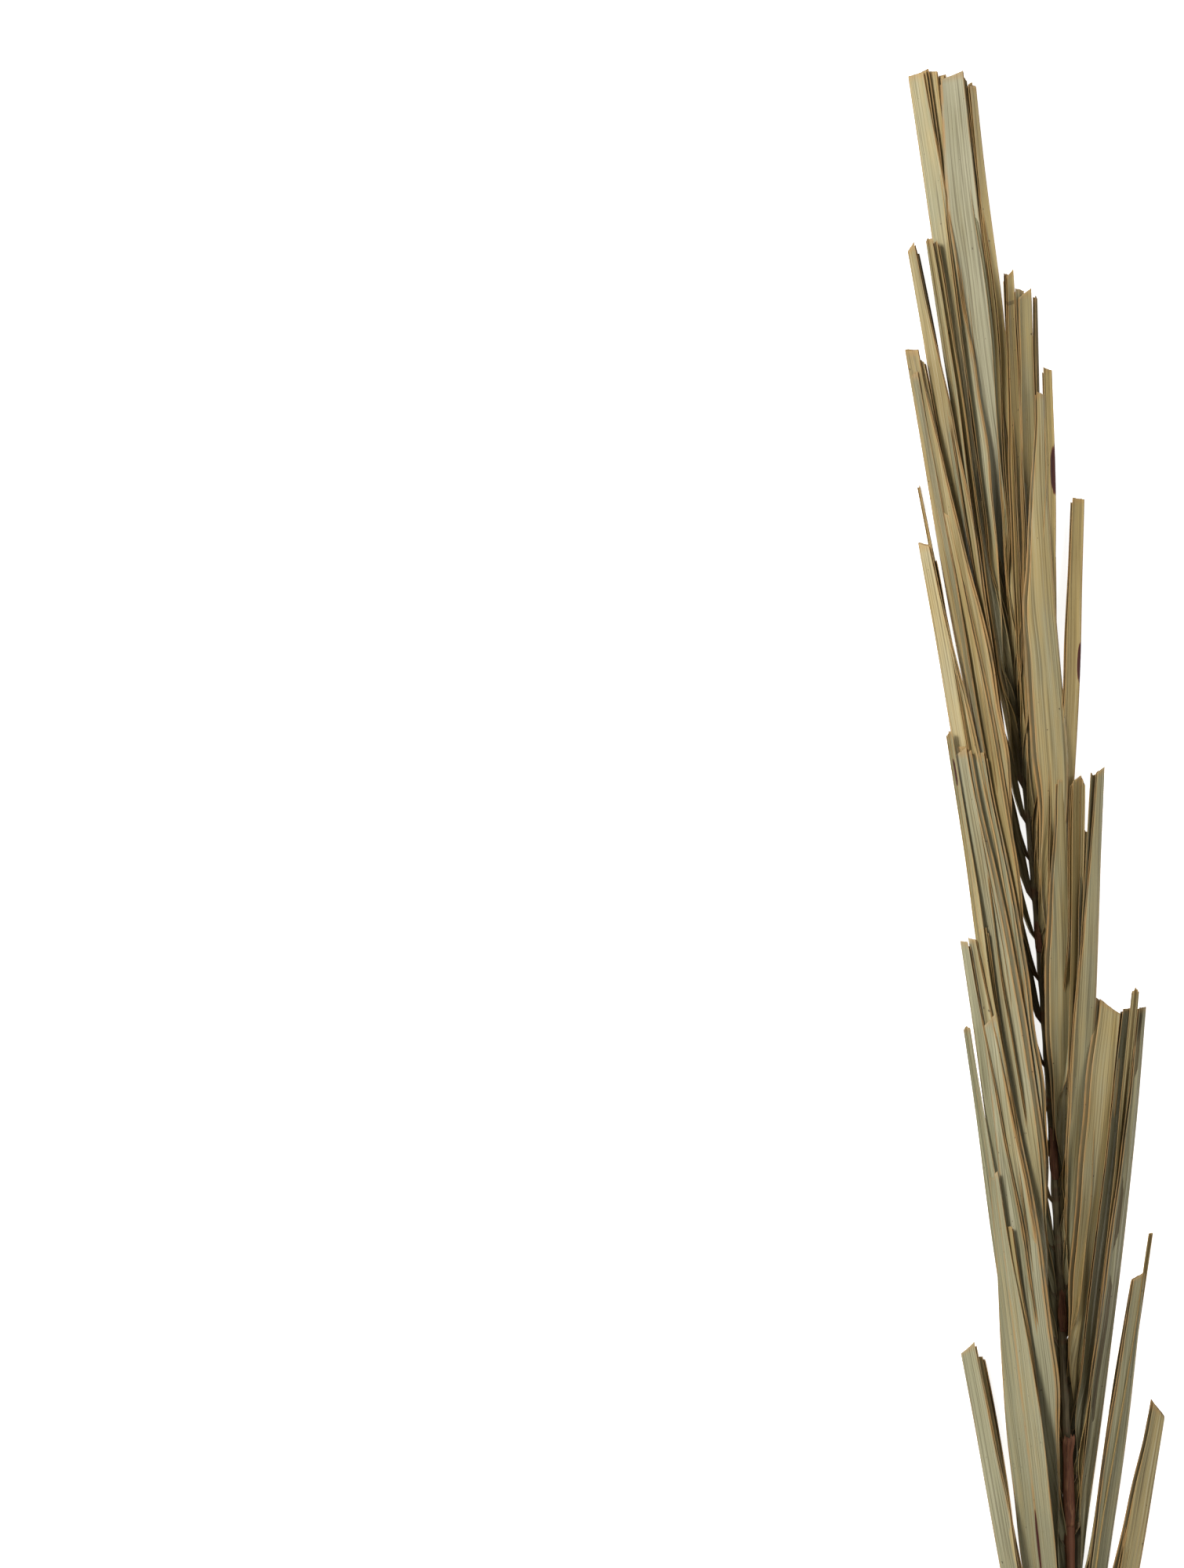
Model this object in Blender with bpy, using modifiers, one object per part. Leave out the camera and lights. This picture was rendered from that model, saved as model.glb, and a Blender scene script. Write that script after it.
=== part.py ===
"""Dried fan palm leaf, picked and laid flat: a long midrib with folded leaflets along both sides.

Metres, +Z up. The leaf lies on the plane z = 0 with its cut stalk towards -Y and its tip towards +Y.
Each leaflet is a long blade. It stands on edge where it leaves the midrib, twists over as it goes,
and beds down on the leaflets laid before it. They are laid from the tip of the leaf to the stalk.
"""

import math
import random

import bmesh
import bpy
import numpy as np
from mathutils import Vector

# Midrib. Distances along the leaf are measured from the cut end of the stalk.
MIDRIB_LENGTH = 0.9235
STALK_LENGTH = 0.134
MIDRIB_SWEEP = 0.0435
SWEEP_POWER = 2.4
STALK_RADIUS = 0.0050
MIDRIB_TIP_RADIUS = 0.0010
TAPER_POWER = 0.75
MIDRIB_POINTS = 30
MIDRIB_SIDES = 8

# The leaflets were trimmed with scissors, a few at a time, so they end in steps. One row for each
# leaflet from the stalk to the tip: distance of its cut end, that end's sideways place (negative is
# left), width of the cut end, and width of the blade where it is widest.
CUT_LEFT = (
    (0.460, -0.0690, 0.0100, 0.0140),
    (0.454, -0.0625, 0.0075, 0.0120),
    (0.573, -0.0535, 0.0060, 0.0270),
    (0.539, -0.0450, 0.0060, 0.0120),
    (0.665, -0.0700, 0.0050, 0.0130),
    (0.670, -0.0565, 0.0085, 0.0165),
    (0.720, -0.0720, 0.0055, 0.0130),
    (0.722, -0.0675, 0.0050, 0.0130),
    (0.728, -0.0595, 0.0060, 0.0120),
    (0.853, -0.0815, 0.0045, 0.0125),
    (0.840, -0.0750, 0.0100, 0.0150),
    (0.839, -0.0655, 0.0085, 0.0130),
    (0.844, -0.0725, 0.0080, 0.0120),
    (0.972, -0.0980, 0.0060, 0.0155),
    (0.965, -0.0920, 0.0060, 0.0120),
    (1.010, -0.0995, 0.0025, 0.0090),
    (0.993, -0.0860, 0.0060, 0.0110),
    (1.081, -0.1025, 0.0060, 0.0110),
    (1.096, -0.1065, 0.0060, 0.0155),
    (1.089, -0.0975, 0.0050, 0.0100),
    (1.162, -0.1055, 0.0050, 0.0120),
    (1.160, -0.1005, 0.0020, 0.0080),
    (1.167, -0.0930, 0.0055, 0.0105),
    (1.165, -0.0890, 0.0060, 0.0100),
    (1.165, -0.0915, 0.0045, 0.0090),
    (1.273, -0.1025, 0.0090, 0.0115),
    (1.274, -0.0975, 0.0080, 0.0105),
    (1.275, -0.0910, 0.0080, 0.0105),
    (1.272, -0.0855, 0.0080, 0.0100),
)
CUT_RIGHT = (
    (0.420, 0.0535, 0.0085, 0.0130),
    (0.416, 0.0495, 0.0060, 0.0110),
    (0.506, 0.0405, 0.0075, 0.0120),
    (0.533, 0.0475, 0.0035, 0.0070),
    (0.503, 0.0365, 0.0050, 0.0110),
    (0.677, 0.0425, 0.0050, 0.0110),
    (0.689, 0.0365, 0.0055, 0.0110),
    (0.677, 0.0320, 0.0075, 0.0120),
    (0.676, 0.0235, 0.0125, 0.0130),
    (0.652, 0.0160, 0.0060, 0.0110),
    (0.829, 0.0155, 0.0045, 0.0115),
    (0.827, 0.0095, 0.0080, 0.0115),
    (0.823, 0.0000, 0.0105, 0.0115),
    (0.823, -0.0100, 0.0055, 0.0130),
    (0.789, 0.0060, 0.0060, 0.0110),
    (0.821, -0.0030, 0.0070, 0.0105),
    (1.002, 0.0015, 0.0085, 0.0140),
    (0.963, -0.0165, 0.0060, 0.0105),
    (1.068, -0.0245, 0.0045, 0.0145),
    (1.084, -0.0215, 0.0070, 0.0110),
    (1.130, -0.0270, 0.0040, 0.0090),
    (1.133, -0.0325, 0.0080, 0.0110),
    (1.135, -0.0375, 0.0080, 0.0100),
    (1.146, -0.0420, 0.0045, 0.0090),
    (1.145, -0.0440, 0.0045, 0.0085),
    (1.141, -0.0455, 0.0045, 0.0085),
    (1.265, -0.0665, 0.0060, 0.0095),
    (1.267, -0.0690, 0.0060, 0.0095),
    (1.270, -0.0730, 0.0065, 0.0100),
)
CUT_END = (1.272, -0.0780, 0.0125, 0.0140)
CROWDING = 1.25
LAST_BASE = 0.912
BASE_WIDTH = 0.0036
BLADE_THICKNESS = 0.0005
BASE_CLEARANCE = 0.0006
GROWS_FROM = -0.02
WIDEST_AT = 0.34
TAPER_FROM = 0.50
SLANT_SHARE = 0.22
TIP_LEAFLET_OVERLAP = 0.004

# How a leaflet leaves the midrib. "spread" is its angle to the midrib there, in degrees, and "bend"
# tells how soon it comes back to its own line: the higher, the sooner. "standing" is how far it
# leans from flat there, in degrees, and "twist_end" the share of its length by which it lies down.
# The left leaflets stand away from the midrib. The right ones hug it and lie over its edge.
SIDES = (
    {"name": "left", "sign": -1, "spread": 6.5, "wider": 10.5, "stagger": 0.0}
    | {"bend": 7, "standing": 68.0, "twist_end": 0.30},
    {"name": "right", "sign": 1, "spread": 2.5, "wider": 0.0, "stagger": 0.010}
    | {"bend": 3, "standing": 52.0, "twist_end": 0.16},
)
CUTS = {"left": CUT_LEFT, "right": CUT_RIGHT}
SPREAD_SCATTER = 1.5

# On the left the spread is wider along one stretch, where gaps show beside the midrib.
WIDER_FROM = (0.50, 0.56)
WIDER_TO = (0.78, 0.84)

# How far a blade leans from flat once it rests, and where its twist begins.
RESTING_ROLL = 15.0
ROLL_SCATTER = 2.5
TWIST_START = 0.04

# Laying the leaflets on each other.
STATIONS = (0.0, 0.03, 0.065, 0.11, 0.17, 0.25, 0.34, 0.44, 0.56, 0.70, 0.85, 1.0)
TANGENT_STEP = 0.01
LAYER_GAP = 0.00032
MIDRIB_MARGIN = 0.0004
MIDRIB_GAP = 0.0002
SHARED_ZONE = 0.75  # how far into its stretch a point still lifts the near station
STIFFNESS_SAG = 0.0015
CELL_X = 0.00025
CELL_Y = 0.001
FIELD_X = (-0.150, 0.110)
FIELD_Y = (0.0, 1.300)
SETTLING_PASSES = 60
SETTLED = 1e-6
BEDDING_LENGTH = 0.012
BEDDING_ROLLS = (-24, 33, 1.5)
BEDDING_EFFORT = 0.003
SEED = 11

LEAF_TAN = (0.39, 0.33, 0.19, 1.0)
LEAF_SAGE = (0.32, 0.32, 0.20, 1.0)
MIDRIB_BROWN = (0.16, 0.11, 0.055, 1.0)


# ---------------------------------------------------------------- midrib as a function of distance
def midrib_x(y):
    """Sideways place of the midrib's centre: straight at the stalk, sweeping left towards the tip."""
    return -MIDRIB_SWEEP * max(y / MIDRIB_LENGTH, 0.0) ** SWEEP_POWER


def midrib_lean(y):
    """Angle of the midrib from +Y, in radians, positive to the right."""
    step = 0.001
    return math.atan2(midrib_x(y + step) - midrib_x(y - step), 2 * step)


def midrib_radius(y):
    """Radius of the midrib, thickest at the cut end of the stalk."""
    share = max(1 - y / MIDRIB_LENGTH, 0.0) ** TAPER_POWER
    return MIDRIB_TIP_RADIUS + (STALK_RADIUS - MIDRIB_TIP_RADIUS) * share


def midrib_height(y):
    """Height of the midrib's centre, so that its lowest facet lies on z = 0."""
    return midrib_radius(y) * math.cos(math.pi / MIDRIB_SIDES)


# ------------------------------------------------------------------------------- leaflets in plan
def smooth_step(value, start, end):
    """0 before start, 1 after end, and smooth between."""
    share = min(max((value - start) / (end - start), 0.0), 1.0)
    return share * share * (3 - 2 * share)


def smooth_width(share, cut_width, full_width):
    """Width of a blade: narrow at the midrib, widest before the middle, then tapering to the cut."""
    grown = BASE_WIDTH + (full_width - BASE_WIDTH) * smooth_step(share, GROWS_FROM, WIDEST_AT)
    return grown + (cut_width - full_width) * smooth_step(share, TAPER_FROM, 1.0)


def leaflet_plan(name, side, base, cut, noise):
    """One leaflet's place, size and lean."""
    distance, sideways, cut_width, full_width = cut
    wider = smooth_step(base, *WIDER_FROM) * (1 - smooth_step(base, *WIDER_TO))
    spread = side["spread"] + side["wider"] * wider
    return {
        "name": name,
        "side": side["sign"],
        "bend": side["bend"],
        "standing": math.radians(side["standing"]),
        "twist_end": side["twist_end"],
        "base": base,
        "cut": np.array([sideways, distance]),
        "spread": math.radians(spread + noise.uniform(-SPREAD_SCATTER, SPREAD_SCATTER)),
        "cut_width": cut_width,
        "full_width": full_width,
        "roll": math.radians(RESTING_ROLL + noise.uniform(-ROLL_SCATTER, ROLL_SCATTER)),
        "slant": cut_width * SLANT_SHARE * noise.uniform(-1, 1),
    }


def plan_leaflets():
    """Every leaflet from the tip to the stalk, the order in which they are laid."""
    noise = random.Random(SEED)
    plans = []
    for side in SIDES:
        cuts = CUTS[side["name"]]
        for index, cut in enumerate(cuts):
            share = 1 - (1 - index / (len(cuts) - 1)) ** CROWDING
            base = STALK_LENGTH + (LAST_BASE - STALK_LENGTH) * share
            base += side["stagger"] * (1 - share)
            name = f"leaflet_{side['name']}_{index + 1:02d}"
            plans.append(leaflet_plan(name, side, base, cut, noise))
    end = MIDRIB_LENGTH - TIP_LEAFLET_OVERLAP
    plans.append(leaflet_plan("leaflet_tip", SIDES[1], end, CUT_END, noise))
    return sorted(plans, key=lambda plan: -plan["base"])


def path_of(plan):
    """The blade's centre line in plan: a chord from the midrib to the cut, bowed by the base spread."""
    sign, base = plan["side"], plan["base"]
    foot = BASE_WIDTH / 2 * math.cos(plan["standing"]) + BLADE_THICKNESS / 2
    lean = midrib_lean(base)
    sideways = np.array([math.cos(lean), -math.sin(lean)])
    start = np.array([midrib_x(base), base])
    start = start + sign * (midrib_radius(base) + BASE_CLEARANCE + foot) * sideways
    chord = plan["cut"] - start
    outward = sign * np.array([chord[1], -chord[0]])
    heading = lean + sign * plan["spread"]
    bow = math.tan(sign * (heading - math.atan2(chord[0], chord[1])))

    def point(share):
        return start + share * chord + bow * share * (1 - share) ** plan["bend"] * outward

    return point


def station_frames(plan):
    """Centre, along and inward directions, width and twist of the blade at each station."""
    point = path_of(plan)
    frames = []
    for share in STATIONS:
        along = point(share + TANGENT_STEP) - point(share - TANGENT_STEP)
        along /= np.linalg.norm(along)
        inward = -plan["side"] * np.array([along[1], -along[0]])
        width = smooth_width(share, plan["cut_width"], plan["full_width"])
        frames.append(
            {
                "place": point(share),
                "along": along,
                "inward": inward,
                "width": width,
                "rest": plan["roll"],
                "twist": smooth_step(share, TWIST_START, plan["twist_end"]),
            }
        )
    return frames


def blade_corners(plan, frames, heights):
    """(stations, 2, 3) corners of the blade's middle surface: outer low edge, then inner high edge."""
    corners = np.zeros((len(frames), 2, 3))
    for row, (frame, height) in enumerate(zip(frames, heights)):
        slant = plan["slant"] if row == len(frames) - 1 else 0.0
        for column, half in enumerate((-0.5, 0.5)):
            reach = half * frame["width"] * math.cos(frame["roll"])
            point = frame["place"] + reach * frame["inward"] + 2 * half * slant * frame["along"]
            corners[row, column, :2] = point
            corners[row, column, 2] = height + half * frame["width"] * math.sin(frame["roll"])
    return corners


# ------------------------------------------------------------------ laying the leaflets in a pile
def sample_blade(corners, rolls):
    """Dense points on a blade: their cells, highest and lowest height of either way to split a quad
    into triangles, half the blade's upright thickness, and the share of each point's two stations."""
    points = []
    across = np.linspace(0, 1, 60)
    for row in range(len(corners) - 1):
        a, b = corners[row]
        c, d = corners[row + 1]
        count = int(np.linalg.norm((c - a)[:2]) / (CELL_Y / 2)) + 2
        u, v = np.meshgrid(np.linspace(0, 1, count), across, indexing="ij")
        u, v = u.ravel()[:, None], v.ravel()[:, None]
        one = np.where(u > v, a + u * (c - a) + v * (d - c), a + v * (b - a) + u * (d - b))
        other = np.where(
            u + v < 1, a + u * (c - a) + v * (b - a), d + (1 - u) * (b - d) + (1 - v) * (c - d)
        )
        roll = rolls[row] + u[:, 0] * (rolls[row + 1] - rolls[row])
        half = BLADE_THICKNESS / 2 / np.cos(roll)
        for flat in (one, other):
            points.append(np.column_stack([flat, half, np.full(len(u), row), u[:, 0]]))
    return np.vstack(points)


def cells_of(points):
    """Column and row in the height field for points in plan."""
    column = ((points[:, 0] - FIELD_X[0]) / CELL_X).astype(int)
    row = ((points[:, 1] - FIELD_Y[0]) / CELL_Y).astype(int)
    return column, row


def empty_field():
    """Height field of what is already laid: the surface and the midrib."""
    columns = int((FIELD_X[1] - FIELD_X[0]) / CELL_X)
    rows = int((FIELD_Y[1] - FIELD_Y[0]) / CELL_Y)
    field = np.full((columns, rows), -LAYER_GAP)
    x = FIELD_X[0] + (np.arange(columns) + 0.5) * CELL_X
    for row in range(rows):
        y = FIELD_Y[0] + (row + 0.5) * CELL_Y
        if y < MIDRIB_LENGTH + CELL_Y:
            covered = np.abs(x - midrib_x(y)) < midrib_radius(y) + MIDRIB_MARGIN
            field[covered, row] = 2 * midrib_radius(y) + MIDRIB_GAP
    return field


def stiffened(heights):
    """A dry blade barely sags between the places that hold it up."""
    raised = heights.copy()
    for _ in range(SETTLING_PASSES):
        middle = (raised[:-2] + raised[2:]) / 2 - STIFFNESS_SAG
        raised[1:-1] = np.maximum(raised[1:-1], middle)
    return raised


def lean_into(plan, frames, field):
    """Turns each station so that the blade beds down on what lies under it, as a dry leaflet does."""
    found = []
    for frame in frames:
        half = frame["width"] / 2
        across = np.linspace(-half, half, 13)[:, None]
        along = np.linspace(-BEDDING_LENGTH, BEDDING_LENGTH, 9)[None, :]
        x = frame["place"][0] + across * frame["inward"][0] + along * frame["along"][0]
        y = frame["place"][1] + across * frame["inward"][1] + along * frame["along"][1]
        column, row = cells_of(np.stack([x.ravel(), y.ravel()], axis=1))
        under = np.maximum(field[column, row].reshape(x.shape).max(axis=1), 0.0)
        rolls = np.radians(np.arange(*BEDDING_ROLLS))
        needed = (under[None, :] - np.tan(rolls)[:, None] * across[:, 0][None, :]).max(axis=1)
        found.append(rolls[np.argmin(needed + BEDDING_EFFORT * np.abs(rolls - frame["rest"]))])
    found = np.array(found)
    for _ in range(2):
        found[1:-1] = (found[:-2] + 2 * found[1:-1] + found[2:]) / 4
    start_roll = plan["standing"]
    for frame, roll in zip(frames, found):
        frame["roll"] = start_roll + (roll - start_roll) * frame["twist"]


def settle(plan, field):
    """Lowest heights of the stations at which the whole blade clears what is already laid."""
    frames = station_frames(plan)
    lean_into(plan, frames, field)
    rolls = np.array([frame["roll"] for frame in frames])
    heights = np.zeros(len(frames))
    heights[0] = midrib_height(plan["base"])
    points = sample_blade(blade_corners(plan, frames, heights), rolls)
    column, row = cells_of(points)
    station, share = points[:, 4].astype(int), points[:, 5]
    floor_needed = field[column, row] + LAYER_GAP + points[:, 3]
    base_lift = heights_at_start(plan, station, share)
    for _ in range(SETTLING_PASSES):
        lift = heights[station] * (1 - share) + heights[station + 1] * share
        missing = floor_needed - (points[:, 2] + lift - base_lift)
        worst = np.zeros(len(frames))
        np.maximum.at(worst, station, np.where(share < SHARED_ZONE, missing, 0))
        np.maximum.at(worst, station + 1, np.where(share > 1 - SHARED_ZONE, missing, 0))
        if worst.max() < SETTLED:
            break
        heights = stiffened(heights + worst)
    return frames, heights, rolls


def heights_at_start(plan, station, share):
    """The lift already in the sampled points: only the first station starts off the surface."""
    first = midrib_height(plan["base"])
    return np.where(station == 0, first * (1 - share), 0.0)


def add_to_field(field, corners, rolls):
    """Raises the height field to the top of a blade, a little wider than the blade itself."""
    points = sample_blade(corners, rolls)
    top = points[:, 2] + points[:, 3]
    column, row = cells_of(points)
    for step_x in (-2, -1, 0, 1, 2):
        for step_y in (-1, 0, 1):
            np.maximum.at(field, (column + step_x, row + step_y), top)


# ------------------------------------------------------------------------------- Blender objects
def material(name, colour, roughness):
    """A plain Principled material."""
    made = bpy.data.materials.new(name)
    made.use_nodes = True
    shader = made.node_tree.nodes["Principled BSDF"]
    shader.inputs["Base Color"].default_value = colour
    shader.inputs["Roughness"].default_value = roughness
    shader.inputs["Metallic"].default_value = 0.0
    return made


def blade_object(plan, corners, finish, shift):
    """One leaflet: an open strip of quads, thickened with Solidify."""
    bm = bmesh.new()
    rows = len(corners)
    bmesh.ops.create_grid(bm, x_segments=1, y_segments=rows - 1, size=0.5)
    bm.verts.ensure_lookup_table()
    ordered = sorted(bm.verts, key=lambda vert: (round(vert.co.y, 5), vert.co.x))
    flip = plan["side"] > 0
    for number, vert in enumerate(ordered):
        row, column = divmod(number, 2)
        vert.co = Vector(corners[row, 1 - column if flip else column]) + shift
    mesh = bpy.data.meshes.new(plan["name"])
    bm.to_mesh(mesh)
    bm.free()
    mesh.materials.append(finish)
    leaflet = bpy.data.objects.new(plan["name"], mesh)
    solid = leaflet.modifiers.new("blade", "SOLIDIFY")
    solid.thickness = BLADE_THICKNESS
    solid.offset = 0.0
    return leaflet


def midrib_object(finish, shift):
    """The stalk and midrib: a tapering eight-sided rod with a flat facet on the surface."""
    curve = bpy.data.curves.new("midrib", "CURVE")
    curve.dimensions = "3D"
    curve.twist_mode = "Z_UP"
    curve.bevel_depth = 1.0
    curve.bevel_resolution = MIDRIB_SIDES // 2 - 2
    curve.use_fill_caps = True
    spline = curve.splines.new("POLY")
    spline.points.add(MIDRIB_POINTS - 1)
    for number, point in enumerate(spline.points):
        y = MIDRIB_LENGTH * number / (MIDRIB_POINTS - 1)
        point.co = (*(Vector((midrib_x(y), y, midrib_height(y))) + shift), 1.0)
        point.radius = midrib_radius(y)
        point.tilt = math.pi / MIDRIB_SIDES
    curve.materials.append(finish)
    return bpy.data.objects.new("midrib", curve)


def clear_scene():
    for thing in list(bpy.data.objects):
        bpy.data.objects.remove(thing)


def main():
    clear_scene()
    leaf = bpy.data.collections.new("fan_palm_leaf")
    bpy.context.scene.collection.children.link(leaf)

    field = empty_field()
    laid = []
    for plan in plan_leaflets():
        frames, heights, rolls = settle(plan, field)
        corners = blade_corners(plan, frames, heights)
        add_to_field(field, corners, rolls)
        laid.append((plan, corners))

    # The origin goes to the middle of the leaf's box, on the surface that it lies on.
    everything = np.vstack([corners.reshape(-1, 3) for _, corners in laid])
    low_x, high_x = everything[:, 0].min(), everything[:, 0].max()
    shift = Vector((-(low_x + high_x) / 2, -everything[:, 1].max() / 2, 0.0))

    tan = material("leaf_tan", LEAF_TAN, 0.7)
    sage = material("leaf_sage", LEAF_SAGE, 0.7)
    brown = material("midrib_brown", MIDRIB_BROWN, 0.75)
    leaf.objects.link(midrib_object(brown, shift))
    for number, (plan, corners) in enumerate(laid):
        leaf.objects.link(blade_object(plan, corners, (tan, sage)[number % 2], shift))


main()
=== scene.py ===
# %% [markdown]
# # A dried fan palm leaf, laid flat
#
# The leaf is a long tapering midrib with narrow leaflets down both sides. Each leaflet is a blade
# folded along its own rib, and they lie over each other like tiles. The CAD model already fixes where
# every blade lies, how wide it is and how it turns. This script reads those blades back from the
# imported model, grows a thin folded leaflet on each, and gives them the colours of a dry leaf.

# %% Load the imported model
import math
from types import SimpleNamespace

import bpy
import numpy as np
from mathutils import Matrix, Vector


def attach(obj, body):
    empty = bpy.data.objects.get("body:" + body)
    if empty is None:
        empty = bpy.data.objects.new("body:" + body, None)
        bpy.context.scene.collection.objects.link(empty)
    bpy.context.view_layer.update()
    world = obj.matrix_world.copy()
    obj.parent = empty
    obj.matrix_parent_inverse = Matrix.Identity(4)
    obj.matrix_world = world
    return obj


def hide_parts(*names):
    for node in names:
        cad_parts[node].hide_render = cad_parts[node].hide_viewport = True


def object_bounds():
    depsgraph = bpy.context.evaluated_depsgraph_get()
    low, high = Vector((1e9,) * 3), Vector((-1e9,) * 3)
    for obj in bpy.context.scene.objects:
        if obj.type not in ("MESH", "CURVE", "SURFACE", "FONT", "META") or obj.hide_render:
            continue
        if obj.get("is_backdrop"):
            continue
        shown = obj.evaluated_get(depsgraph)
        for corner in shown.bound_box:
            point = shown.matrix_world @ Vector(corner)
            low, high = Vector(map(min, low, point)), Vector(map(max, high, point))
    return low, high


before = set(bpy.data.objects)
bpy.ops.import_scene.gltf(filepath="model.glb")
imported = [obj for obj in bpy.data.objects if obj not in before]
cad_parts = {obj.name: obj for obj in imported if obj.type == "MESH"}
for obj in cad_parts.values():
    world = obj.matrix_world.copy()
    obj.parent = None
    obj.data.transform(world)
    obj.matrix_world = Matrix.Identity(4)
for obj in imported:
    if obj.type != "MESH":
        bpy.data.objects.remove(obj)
cad_low, cad_high = (Vector(corner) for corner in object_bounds())
leaf_size = cad_high - cad_low
leaflet_names = [name for name in sorted(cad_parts) if name.startswith("leaflet")]
print("leaf box", [round(side, 3) for side in leaf_size], "leaflets", len(leaflet_names))

# %% [markdown]
# ## Camera
#
# The leaf is looked at from straight above. It fills the right side of a tall picture, with its
# stalk running out of the lower edge. A long lens far away keeps the view almost flat, so that the
# raised leaflets hardly grow towards the camera.

# %% Camera
PICTURE_HEIGHT = 1.0  # metres of floor from the top of the picture to its bottom
ROOM_ABOVE_TIP = 0.043
LEAF_FROM_CENTRE = 0.2825  # how far right of the picture's centre the middle of the leaf's box lies
LENS_MM = 120.0
SENSOR_MM = 36.0
MEASURED_AT = 0.006  # the height at which the picture is PICTURE_HEIGHT tall: that of the leaf's tip

camera_data = bpy.data.cameras.new("camera")
camera_data.lens = LENS_MM
camera_data.sensor_width = SENSOR_MM
camera = bpy.data.objects.new("camera", camera_data)
bpy.context.scene.collection.objects.link(camera)
middle = (cad_low + cad_high) / 2
camera.location = (
    middle.x - LEAF_FROM_CENTRE,
    cad_high.y + ROOM_ABOVE_TIP - PICTURE_HEIGHT / 2,
    MEASURED_AT + PICTURE_HEIGHT * LENS_MM / SENSOR_MM,
)
bpy.context.scene.camera = camera
print("camera", [round(value, 3) for value in camera.location])

# %% [markdown]
# ## Light
#
# A dry leaf has quiet colours and shallow folds, and a lamp straight above would flatten both. One
# big softbox at the upper left throws a soft shadow from every fold. A larger, weaker one across from
# it keeps those shadows open. The world stands in for white boards all around.

# %% Light
LOOKED_AT = Vector((0, 0, 0))
BOARD_WHITE = (1.0, 0.99, 0.95, 1)
BOARD_STRENGTH = 0.30

bpy.context.scene.view_settings.view_transform = "Standard"


def softbox(name, place, size, power):
    """A square area light that looks at the middle of the leaf."""
    data = bpy.data.lights.new(name, "AREA")
    data.size = size
    data.energy = power
    light = bpy.data.objects.new(name, data)
    light.location = place
    light.rotation_euler = (LOOKED_AT - Vector(place)).to_track_quat("-Z", "Y").to_euler()
    bpy.context.scene.collection.objects.link(light)


softbox("key_softbox", place=(-1.5, 1.2, 1.95), size=0.8, power=88)
softbox("fill_softbox", place=(1.7, -0.5, 2.1), size=1.6, power=18)

world = bpy.data.worlds.new("white_boards")
world.use_nodes = True
background = world.node_tree.nodes["Background"]
background.inputs["Color"].default_value = BOARD_WHITE
background.inputs["Strength"].default_value = BOARD_STRENGTH
bpy.context.scene.world = world
print("lights", [light.name for light in bpy.data.lights])

# %% [markdown]
# ## Floor
#
# The leaf lies on a white table that glows a little from inside. White paper would turn grey in the
# shadow of the leaflets. The glow keeps the floor white in the gaps between them, so the outline of
# every leaflet stays crisp. It is one big square, so wide that its edge stays out of a low view.

# %% Floor
FLOOR_HALF = 40.0
FLOOR_CORNERS = ((-1, -1), (1, -1), (1, 1), (-1, 1))
PAPER = {
    "Base Color": (0.93, 0.93, 0.925, 1),
    "Emission Color": (1, 1, 1, 1),
    "Emission Strength": 0.8,
    "Roughness": 0.9,
    "Specular IOR Level": 0.1,
}

floor_mesh = bpy.data.meshes.new("floor")
floor_mesh.from_pydata([(x * FLOOR_HALF, y * FLOOR_HALF, 0) for x, y in FLOOR_CORNERS], [], [(0, 1, 2, 3)])
floor = bpy.data.objects.new("floor", floor_mesh)
bpy.context.scene.collection.objects.link(floor)
paper_white = bpy.data.materials.new("paper_white")
paper_white.use_nodes = True
for socket, value in PAPER.items():
    paper_white.node_tree.nodes["Principled BSDF"].inputs[socket].default_value = value
floor_mesh.materials.append(paper_white)
floor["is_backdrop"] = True
print("floor", 2 * FLOOR_HALF, "m wide")

# %% [markdown]
# ## A small language for finishes
#
# A finish is a graph of nodes. Written out one by one, its arithmetic is hard to read, so one small
# class wraps a socket and lets Python's own signs add the Math nodes. Every other node comes from the
# class's node method. A Mix or an Attribute node has several sockets of one name, so those go by
# number.


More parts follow.
